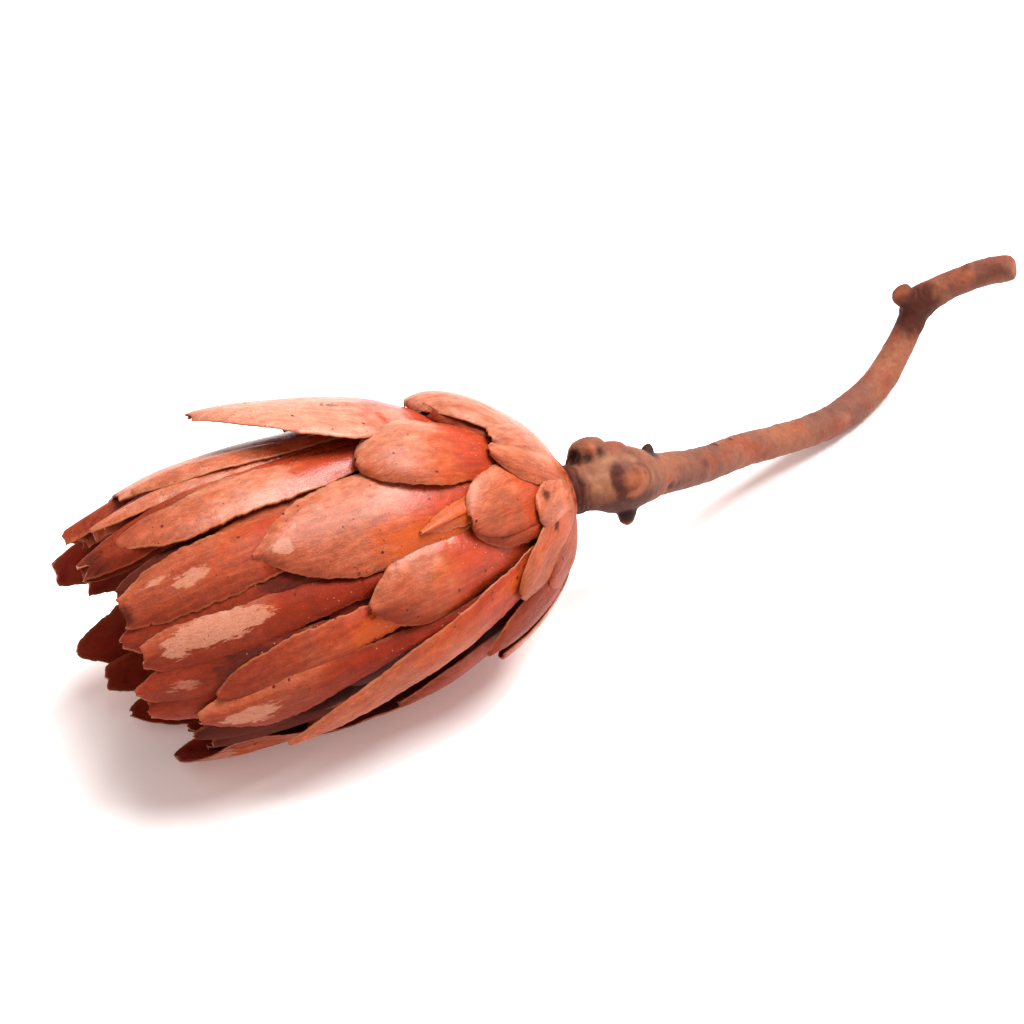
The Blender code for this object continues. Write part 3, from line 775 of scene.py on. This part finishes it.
def specks(g, place, scale, size, rarity):
    """Scattered spots of uneven size: 1 on a spot."""
    cells = g.node("ShaderNodeTexVoronoi", {"Vector": place, "Scale": scale, "Randomness": 1.0})
    chance = g.node("ShaderNodeSeparateColor", {"Color": cells.outputs["Color"]}).outputs[0]
    chosen = g.math("GREATER_THAN", chance, rarity)
    ragged_edge = g.times(g.noise(place, 3.0, 2.0), size)
    reach = g.minus(g.plus(cells.outputs["Distance"], ragged_edge), size * 0.5)
    return g.times(g.between(reach, size * 0.7, size, 1.0, 0.0), chosen)


def bract_inside():
    g = Graph("bract_inner_face")
    place = g.attribute("place", "Vector")
    fibre = g.fibres(place, 0.1, 2.4, 4.0, 0.6)
    mottle = g.noise(place, 0.2, 3.0)
    colour = g.mix(g.between(mottle, 0.35, 0.7), INNER_DARK, INNER)
    dry = g.minus(g.times(g.noise(place, 0.35, 3.0), 1.1), g.attribute("fresh"))
    colour = g.mix(g.between(dry, 0.3, 0.75, 0.0, 0.8), colour, INNER_TIP)
    colour = g.mix(g.between(fibre, 0.45, 0.8, 0.0, 0.4), colour, DULL)
    colour = g.mix(g.times(g.attribute("margin"), 0.3), colour, MARGIN)
    return g.finished(colour, 0.5, Normal=g.bump(fibre, 0.4, 0.00015), Specular_IOR_Level=0.15)


def bract_margin():
    g = Graph("bract_margin")
    place = g.attribute("place", "Vector")
    fine = g.noise(place, 1.8, 4.0, 0.65)
    colour = g.mix(g.between(fine, 0.4, 0.7), MARGIN, ORANGE)
    colour = g.mix(g.between(g.noise(place, 0.3, 4.0, 0.65), 0.42, 0.60, 0.0, 0.8), colour, DULL)
    colour = g.mix(g.between(g.noise(place, 0.7, 3.0), 0.6, 0.75), colour, SPECK)
    return g.finished(colour, 0.4, Normal=g.bump(fine, 0.5, 0.0001))


# The pieces that the shown bracts are joined in, by the first words of their names.
BRACT_PIECES = {"bract_scales": ("scale",), "bract_middles": ("middle", "rest", "sliver"),
                "bract_longs": ("long",), "bract_mouth": ("mouth",)}


def make_bracts():
    draw = random.Random(LOOK_SEED)
    skins = [bract_outside(), bract_inside(), bract_margin()]
    sheets = {name: Sheet() for name in (*BRACT_PIECES, "bract_back")}
    homes = {word: sheets[name] for name, words in BRACT_PIECES.items() for word in words}
    for b in SHOWN_BRACTS:
        seed = draw.uniform(*SEED_RANGE)
        home = homes[b.name.split("_")[0]]
        home.add_bract(b, LOOKS.get(b.name, UNSEEN), seed, FINE_STEP, FINE_PLACES)
    for b in hidden_bracts():
        look = PLAIN._replace(out=b.tip * HIDDEN_OUT, torn=HIDDEN_TORN)
        look = look._replace(**HIDDEN_LOOKS[b.name.rsplit("_", 1)[0]])
        look = look._replace(tone=look.tone + draw.uniform(-TONE_SPREAD, TONE_SPREAD))
        seed = draw.uniform(*SEED_RANGE)
        sheets["bract_back"].add_bract(b, look, seed, HIDDEN_STEP, HIDDEN_PLACES)
    return [sheet.finished(name, skins) for name, sheet in sheets.items()]


def ring_round(centre, side, over, radius, sides):
    """Points round a centre, in the plane of two unit vectors."""
    turns = [2 * pi * k / sides for k in range(sides)]
    return [centre + (side * cos(turn) + over * sin(turn)) * radius * MM for turn in turns]


def skin_over(points, faces, rings):
    """Adds a closed skin over rings of points, flat across its first and its last ring."""
    first = len(points)
    sides = len(rings[0])
    for ring in rings:
        points.extend(ring)
    for i in range(len(rings) - 1):
        for k in range(sides):
            n = (k + 1) % sides
            low, high = first + i * sides, first + (i + 1) * sides
            faces.append((low + k, low + n, high + n, high + k))
    faces.append(tuple(first + k for k in reversed(range(sides))))
    faces.append(tuple(first + (len(rings) - 1) * sides + k for k in range(sides)))


def tube_rings(path, radii, sides, level):
    """Rings along a path, turned so that one side of each faces level."""
    rings = []
    for i, (point, radius) in enumerate(zip(path, radii)):
        along = path[min(i + 1, len(path) - 1)] - path[max(i - 1, 0)]
        side = level.cross(along).normalized()
        over = along.cross(side).normalized()
        rings.append(ring_round(point, side, over, radius, sides))
    return rings


def head_rings(outline, sides):
    """Rings round the head's axis, from pairs of a distance and a radius."""
    turns = [2 * pi * k / sides for k in range(sides)]
    return [[head_point(along, turn, radius) for turn in turns] for along, radius in outline]


RECEPTACLE_SIDES = 48


def make_receptacle():
    """The thick end of the stem that all bracts grow from; it shows in the ring round the neck."""
    points, faces = [], []
    skin_over(points, faces, head_rings(NECK_OUTLINE + RECEPTACLE[1:], RECEPTACLE_SIDES))
    piece = new_piece("receptacle", points, faces, [receptacle_material()])
    piece.data.shade_smooth()
    return piece


def receptacle_material():
    g = Graph("receptacle_skin")
    place = g.object_place()
    colour = g.mix(g.between(g.noise(place, 500.0, 4.0, 0.65), 0.38, 0.62), DULL, TAN)
    ridge = g.noise(place, 900.0, 4.0, 0.65)
    return g.finished(colour, 0.6, Normal=g.bump(ridge, 0.7, 0.0003), Specular_IOR_Level=0.15)


# Florets: many fine dry hairs on the slim core that the part has.
FLORET_SEED = 11
FLORET_COUNT = 720
FLORET_ROOT = 27.3
FLORET_CORE = [(FLORET_ROOT, 7.6), (34, 7.2), (46, 5.2), (58, 3.0)]
FLORET_CORE_SIDES = 24
FLORET_SIDES = 4
FLORET_RADII = (0.34, 0.36, 0.34, 0.30, 0.24, 0.12)
# Inner florets start this much higher than outer ones, and outer ones end lower.
FLORET_FOOT = FLORET_ROOT + 1.5
FLORET_HIGHER = 14
FLORET_TIPS = (65, 79)
FLORET_LOWER = 6
FLORET_INNER = 0.6
FLORET_OUTER = 4.6
FLORET_SPREAD = 13.5
FLORET_UNEVEN = 1.4
FLORET_LEAN = 0.3
FLORET_SWAY = 0.06
GOLDEN_ANGLE = radians(137.5)
FLORET_BROWN = (0.075, 0.022, 0.012)
FLORET_TIP = (0.24, 0.095, 0.050)


def floret_path(draw, k):
    """Middle line of one floret: up from the core, then fanning out, with a slight sway."""
    out = sqrt((k + 0.5) / FLORET_COUNT)
    turn = k * GOLDEN_ANGLE
    foot = FLORET_FOOT + FLORET_HIGHER * (1 - out)
    tip = draw.uniform(*FLORET_TIPS) - FLORET_LOWER * out
    spread = FLORET_SPREAD * out + draw.uniform(-FLORET_UNEVEN, FLORET_UNEVEN)
    lean = turn + draw.uniform(-FLORET_LEAN, FLORET_LEAN)
    path = []
    for i in range(len(FLORET_RADII)):
        t = i / (len(FLORET_RADII) - 1)
        fan = ease(0, 0.5, t)
        radius = (FLORET_OUTER * out + FLORET_INNER) * (1 - fan) + (spread - 0.8 * (1 - t)) * fan
        sway = FLORET_SWAY * sin(5 * t + 9 * out)
        path.append(head_point(foot + (tip - foot) * t, turn + (lean - turn) * t + sway, radius))
    return path


def make_florets():
    draw = random.Random(FLORET_SEED)
    points, faces = [], []
    skin_over(points, faces, head_rings(FLORET_CORE, FLORET_CORE_SIDES))
    level = Vector((0.2, 1, 0.3))
    for k in range(FLORET_COUNT):
        rings = tube_rings(floret_path(draw, k), FLORET_RADII, FLORET_SIDES, level)
        skin_over(points, faces, rings)
    piece = new_piece("floret_brush", points, faces, [floret_material()])
    piece.data.shade_smooth()
    return piece


def floret_material():
    g = Graph("dried_floret")
    place = g.object_place()
    colour = g.mix(g.between(g.noise(place, 260.0), 0.35, 0.7), FLORET_BROWN, FLORET_TIP)
    return g.finished(colour, 0.75, Normal=g.bump(g.noise(place, 2600.0), 0.4, 0.0001))


# The stem's middle line from the head outwards, measured from the head's base, with its radius.
STEM_SEAT = 2.8
STEM_BELOW_SEAT = -1.2
NECK_RADIUS = 4.7
NECK_SHIFT = Vector((0, -0.8, 0))
STEM_PATH = [
    ((3.0, -0.8, 0.1), 5.0), ((6.5, -0.8, -0.2), 5.8), ((10.0, -0.4, -1.2), 6.4),
    ((13.8, 0.3, -2.7), 6.0), ((17.5, 1.2, -4.4), 4.9), ((21.7, 2.6, -6.2), 4.1),
    ((32.9, 6.5, -11.0), 3.6), ((45.8, 12.4, -16.0), 3.45), ((58.1, 16.6, -20.4), 3.3),
    ((71.2, 20.9, -24.2), 3.35), ((81.9, 25.5, -26.0), 3.5), ((90.8, 29.8, -25.2), 3.4),
    ((96.4, 32.8, -22.1), 3.15), ((101.9, 35.8, -17.3), 3.0), ((104.4, 37.2, -13.8), 3.6),
    ((109.2, 35.6, -10.1), 3.05), ((116.5, 32.3, -6.2), 2.95), ((119.9, 29.0, -4.2), 2.95),
]
STEM_END = [(0.8, 0.97), (1.5, 0.86), (1.9, 0.66), (2.1, 0.35)]
STEM_SIDES = 30
STEM_STEPS = 8
STEM_VOXEL = 0.30
STEM_SMOOTHING = 6

UPPER_BACK = Vector((0.28, 0.58, 0.77))
VIEWER_SIDE = Vector((-0.34, -0.69, 0.64)).normalized()
# Buds and shoots: foot from the head's base, direction, rings as distance and radius.
SHOOTS = {
    "bud_back": ((5.6, -0.8, 0.0), UPPER_BACK - Vector((0.25, 0, 0)),
        ((0, 4.4), (3, 4.5), (5.3, 4.2), (7.2, 3.4), (8.2, 2.3), (8.6, 1.0))),
    "shoulder": ((9.2, -0.6, -0.6), UPPER_BACK - Vector((0.1, 0, 0)),
        ((0, 4.6), (4.2, 4.3), (6.0, 3.4), (6.9, 2.0), (7.1, 0.8))),
    "cut_shoot": ((13.4, 0.3, -2.6), VIEWER_SIDE,
        ((0, 3.4), (4, 3.2), (6.2, 2.8), (7.2, 2.65), (7.7, 2.5), (7.75, 1.4))),
    "bud_top": ((16.6, 1.0, -4.0), UPPER_BACK + Vector((0.3, 0, 0)),
        ((0, 1.7), (4.6, 1.5), (5.6, 1.2), (6.4, 0.7), (6.7, 0.3))),
    "bud_below": ((12.8, -0.1, -2.0), -UPPER_BACK,
        ((0, 2.4), (5.4, 2.1), (7.0, 1.8), (8.4, 1.2), (8.9, 0.5))),
    "side_shoot": ((103.6, 37.2, -14.0), Vector((-0.66, 0.2, 0.72)),
        ((0, 2.6), (2.5, 2.3), (4.2, 2.5), (5.2, 2.45), (5.8, 1.9), (6.1, 0.9))),
}
SHOOT_SIDES = 24
# Waves of the bark as height and length, and small bumps and pits: place from the head's base,
# half width, height (below 0 for a pit).
BARK_WAVES = [(0.16, 3.2), (0.10, 1.1)]
BARK_BUMPS = [
    ((2.3, 1.7, 5.3), 1.5, -0.9), ((4.3, -0.4, 6.0), 0.9, -0.6), ((6.8, -0.5, 6.3), 0.9, -0.7),
    ((5.2, 0.3, 7.4), 1.0, 0.5), ((3.4, -3.4, 4.6), 0.8, -0.35), ((5.3, -3.2, 5.0), 0.7, 0.3),
    ((4.2, -5.0, 3.1), 0.7, -0.3), ((6.0, -4.8, 3.4), 0.7, 0.25), ((8.4, -4.9, 3.6), 0.8, -0.3),
    ((7.4, -6.2, 1.2), 0.9, -0.3), ((37.5, 9.0, -9.2), 0.9, 0.35), ((42.8, 11.3, -11.2), 0.7, 0.3),
    ((31.6, 2.1, -9.9), 1.2, 0.5), ((53.3, 12.5, -16.2), 0.6, 0.3), ((21.4, -2.0, -6.0), 0.7, -0.3),
    ((113.5, 33.7, -4.5), 1.0, 0.6), ((64.0, 17.0, -19.5), 0.8, 0.25),
    ((26.5, 1.2, -4.6), 0.9, 0.25),
]
# Rings of the bark at the neck: where they end, how far apart they are, height and sway.
NECK_RINGS = (2.6, 1.4, 0.2, 0.9)
# Paint on the bark for the material: place from the head's base, half sizes, strength.
BARK_PAINT = {
    "black": [
        ((2.4, 1.6, 5.4), (2.1, 1.8, 1.6), 1.1), ((4.3, -0.4, 6.0), (1.3, 1.1, 1.1), 1.0),
        ((6.8, -0.5, 6.3), (1.3, 1.2, 1.3), 1.0), ((18.9, 2.6, 0.8), (1.8, 2.2, 2.4), 1.3),
        ((11.0, -4.4, -6.4), (2.6, 3.0, 1.5), 1.3), ((21.4, -2.0, -6.0), (0.9, 0.9, 0.8), 0.8),
        ((37.5, 9.0, -9.2), (0.9, 0.9, 0.7), 0.8), ((42.8, 11.3, -11.2), (0.7, 0.7, 0.6), 0.8),
    ],
    # Dark bark, and painted shade: the second entry is painted shade in front of the cut shoot's
    # disc.
    "dark": [
        ((-0.2, -0.8, 0.4), (2.2, 9.0, 9.0), 1.2), ((8.4, -5.2, 2.8), (1.5, 2.4, 3.4), 1.6),
        ((6.5, -4.6, -3.4), (9.0, 4.0, 3.4), 1.2), ((102.0, 35.4, -13.6), (5.0, 6.0, 5.4), 1.4),
        ((99.4, 38.4, -10.0), (3.0, 3.0, 2.6), 0.7), ((32.0, 3.1, -8.0), (2.0, 1.4, 1.4), 0.5),
        ((104.5, 35.4, -9.6), (2.4, 2.8, 2.4), 0.9), ((9.4, -6.3, -0.2), (2.0, 2.0, 1.6), 1.6),
        ((24.0, -1.0, -7.5), (4.0, 2.0, 2.0), 0.6),
    ],
    "orange": [
        ((5.2, 0.3, 7.4), (1.1, 1.1, 1.0), 1.0), ((12.3, -5.5, 2.3), (2.9, 2.2, 2.7), 0.8),
        ((11.6, -6.5, -0.3), (2.2, 1.4, 0.9), 1.1), ((99.4, 37.8, -10.2), (2.6, 2.4, 2.4), 0.6),
        ((112.3, 32.0, -5.4), (1.8, 2.2, 2.4), 0.7), ((121.8, 27.6, -3.6), (2.0, 3.0, 3.0), 0.6),
    ],
    "cream": [
        ((4.6, -4.2, 3.4), (2.2, 3.0, 2.9), 0.85), ((7.4, -1.8, 5.4), (2.2, 1.8, 1.6), 0.8),
        ((12.4, -2.7, 4.5), (2.4, 1.5, 1.4), 0.6), ((15.8, -4.4, 0.2), (2.0, 1.8, 2.2), 0.5),
        ((10.1, -5.6, -9.4), (1.5, 1.5, 1.0), 1.3), ((77.2, 20.2, -23.5), (2.2, 1.4, 1.4), 0.5),
    ],
}
PAINT_LEVEL, PAINT_FALL = 1.3, 0.8
# The cut shoot's rim, painted dark: middle, radius, half width and strength.
SHOOT_RIM = (Vector((11.9, -5.7, 2.3)), 2.75, 0.4, 0.55)


def from_base(offset):
    """A point measured in millimetres from the head's base."""
    return (HEAD_BASE + Vector(offset)) * MM


def spline(four, t):
    """A smooth curve through four values, between the second and the third."""
    before, here, after, beyond = four
    return 0.5 * (2 * here + (after - before) * t
                  + (2 * before - 5 * here + 4 * after - beyond) * t**2
                  + (3 * here - before - 3 * after + beyond) * t**3)


def stem_line():
    """Points and radii along the stem, on a smooth curve through its path."""
    knots = [(head_point(along, 0, 0) + NECK_SHIFT * MM, NECK_RADIUS)
             for along in (STEM_SEAT, STEM_BELOW_SEAT)]
    knots += [(from_base(offset), radius) for offset, radius in STEM_PATH]
    path, radii = [knots[0][0]], [NECK_RADIUS]
    for i in range(1, len(knots) - 1):
        four = knots[i - 1], knots[i], knots[i + 1], knots[min(i + 2, len(knots) - 1)]
        for k in range(STEM_STEPS):
            path.append(spline([knot[0] for knot in four], k / STEM_STEPS))
            radii.append(spline([knot[1] for knot in four], k / STEM_STEPS))
    end, radius = knots[-1]
    onward = (end - knots[-2][0]).normalized() * MM
    for past, share in [(0, 1)] + STEM_END:
        path.append(end + onward * past)
        radii.append(radius * share)
    return path, radii


def make_stem():
    path, radii = stem_line()
    points, faces = [], []
    skin_over(points, faces, tube_rings(path, radii, STEM_SIDES, Vector((0, 0, 1))))
    for foot, direction, outline in SHOOTS.values():
        direction = direction.normalized()
        side = direction.orthogonal().normalized()
        over = direction.cross(side)
        skin_over(points, faces, [
            ring_round(from_base(foot) + direction * along * MM, side, over, radius, SHOOT_SIDES)
            for along, radius in outline])
    piece = new_piece("stem_bark", points, faces, [])
    remesh = piece.modifiers.new("one skin", "REMESH")
    remesh.mode = "VOXEL"
    remesh.voxel_size = STEM_VOXEL * MM
    smooth = piece.modifiers.new("soft joins", "SMOOTH")
    smooth.factor = 0.5
    smooth.iterations = STEM_SMOOTHING
    apply_modifiers(piece)
    mesh = piece.data
    mesh.materials.append(stem_material())
    places = [vertex.co / MM - HEAD_BASE for vertex in mesh.vertices]
    normals = [vertex.normal.copy() for vertex in mesh.vertices]
    for vertex, place, normal in zip(mesh.vertices, places, normals):
        vertex.co += normal * bark_height(place) * MM
        vertex.co.z = max(vertex.co.z, 0)
    for name in BARK_PAINT:
        paint = mesh.attributes.new(name, "FLOAT", "POINT")
        paint.data.foreach_set("value", [bark_paint(name, place) for place in places])
    mesh.shade_smooth()
    return piece


def bark_height(place):
    """How far the bark stands out at a place measured from the head's base."""
    height = sum(high * noise.noise(place / length) for high, length in BARK_WAVES)
    for where, reach, rise in BARK_BUMPS:
        far = (place - Vector(where)).length / reach
        if far < 2.5:
            height += rise * exp(-far * far)
    last, step, rise, swaying = NECK_RINGS
    if place.x < last:
        sway = swaying * noise.noise(place / 1.8)
        fade = ease(-last, 1 - last, -place.x)
        height += rise * sin(2 * pi * (place.x / step + sway)) * fade
    return height


def bark_paint(name, place):
    """Strength of one kind of paint at a place measured from the head's base."""
    best = 0.0
    for where, halves, strength in BARK_PAINT[name]:
        far = hypot(*((p - w) / half for p, w, half in zip(place, where, halves)))
        best = max(best, strength * max(0.0, PAINT_LEVEL - PAINT_FALL * far))
    centre, radius, half, strength = SHOOT_RIM
    off = place - centre
    if name == "dark" and off.length < 2 * radius:
        out = off - VIEWER_SIDE * off.dot(VIEWER_SIDE)
        best = max(best, strength * exp(-((out.length - radius) / half) ** 2))
    return best


BARK = (0.225, 0.078, 0.040)
BARK_GREY = (0.150, 0.056, 0.037)
BARK_RED = (0.220, 0.050, 0.024)
# Dark bark, also the colour of painted shade.
BARK_DARK = (0.048, 0.010, 0.006)
BARK_BLACK = (0.013, 0.005, 0.004)
BARK_ORANGE = (0.300, 0.082, 0.034)
BARK_CREAM = (0.270, 0.125, 0.064)


def stem_material():
    g = Graph("dried_stem")
    place = g.object_place()
    wide = g.noise(place, 75.0, 4.0)
    middling = g.noise(place, 320.0, 4.0, 0.65)
    fine = g.noise(place, 1500.0, 3.0, 0.6)
    colour = g.mix(g.between(wide, 0.36, 0.60), BARK_GREY, BARK)
    colour = g.mix(g.between(g.noise(place, 140.0), 0.48, 0.66, 0.0, 0.8), colour, BARK_RED)
    colour = g.shaded(colour, g.between(middling, 0.3, 0.7, 0.84, 1.12),
                      g.between(fine, 0.3, 0.7, 0.9, 1.08))
    uneven = g.swing(middling, 1.6)
    for name, paint, cover in (("cream", BARK_CREAM, 0.85), ("dark", BARK_DARK, 0.92),
                               ("orange", BARK_ORANGE, 0.85), ("black", BARK_BLACK, 0.92)):
        amount = g.between(g.plus(g.attribute(name), uneven), 0.1, 1.05)
        colour = g.mix(g.times(amount, cover), colour, paint)
    normal = g.bump(g.plus(middling, g.times(fine, 0.5)), 0.6, 0.0003)
    return g.finished(colour, 0.62, Normal=normal, Specular_IOR_Level=0.12)


# Camera: where the photograph was taken from, and where it shows the head's base.
CAMERA_AZIMUTH = radians(-26)
CAMERA_ELEVATION = radians(40)
CAMERA_DISTANCE = 0.452
SENSOR = 36.0
PICTURE = 1024
FOCAL_PIXELS = 2418.0
HEAD_BASE_PIXEL = (566, 488)


def make_camera():
    az, el = CAMERA_AZIMUTH, CAMERA_ELEVATION
    back = Vector((sin(az) * cos(el), -cos(az) * cos(el), sin(el)))
    right = Vector((cos(az), sin(az), 0))
    up = back.cross(right)
    aside = (HEAD_BASE_PIXEL[0] - PICTURE / 2) / FOCAL_PIXELS * CAMERA_DISTANCE
    above = (PICTURE / 2 - HEAD_BASE_PIXEL[1]) / FOCAL_PIXELS * CAMERA_DISTANCE
    place = HEAD_BASE * MM + back * CAMERA_DISTANCE - right * aside - up * above
    data = bpy.data.cameras.new("camera")
    data.sensor_width = SENSOR
    data.lens = FOCAL_PIXELS / PICTURE * SENSOR
    data.clip_start = 0.01
    camera = placed("camera", data)
    turned = Matrix((right, up, back)).transposed().to_4x4()
    camera.matrix_world = Matrix.Translation(place) @ turned
    bpy.context.scene.camera = camera


# Soft studio light: one round lamp that shines at the head, and a warm pale surround.
LAMP_PLACE = Vector((0.82, -0.08, 2.46))
LAMP_AIM = Vector((-0.04, 0, 0.02))
LAMP_SIZE = 1.9
LAMP_POWER = 152
SKY_COLOUR = (1, 0.86, 0.82, 1)
SKY_STRENGTH = 0.65
FLOOR_HALF = 3.0
FLOOR_WHITE = (0.88, 0.88, 0.88)
# The floor glows a little, like a lit table, which keeps the shadows light and warm.
FLOOR_GLOW = (1.0, 0.66, 0.60)
FLOOR_GLOW_STRENGTH = 0.18


def make_lamp():
    data = bpy.data.lights.new("key", "AREA")
    data.shape = "DISK"
    data.size = LAMP_SIZE
    data.energy = LAMP_POWER
    lamp = placed("key", data)
    lamp.location = LAMP_PLACE
    lamp.rotation_euler = (LAMP_PLACE - LAMP_AIM).to_track_quat("Z", "Y").to_euler()


def make_stage():
    g = Graph("white_floor")
    white = g.finished(FLOOR_WHITE, 0.7, Emission_Color=FLOOR_GLOW,
                       Emission_Strength=FLOOR_GLOW_STRENGTH)
    corners = [(x * FLOOR_HALF, y * FLOOR_HALF, 0) for x, y in ((-1, -1), (1, -1), (1, 1), (-1, 1))]
    floor = new_piece("floor", corners, [(0, 1, 2, 3)], [white])
    world = bpy.data.worlds.new("studio")
    bpy.context.scene.world = world
    world.use_nodes = True
    sky = world.node_tree.nodes["Background"]
    sky.inputs["Color"].default_value = SKY_COLOUR
    sky.inputs["Strength"].default_value = SKY_STRENGTH
    make_lamp()
    view = bpy.context.scene.view_settings
    view.view_transform = "Standard"
    view.look = "None"


make_camera()
make_stage()
for made in make_bracts() + [make_receptacle()]:
    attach(made, "root")
    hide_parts("bracts")
for made, node, slot in ((make_florets(), "florets", "floret"), (make_stem(), "stem", "stem")):
    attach(made, "root")
    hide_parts(node)
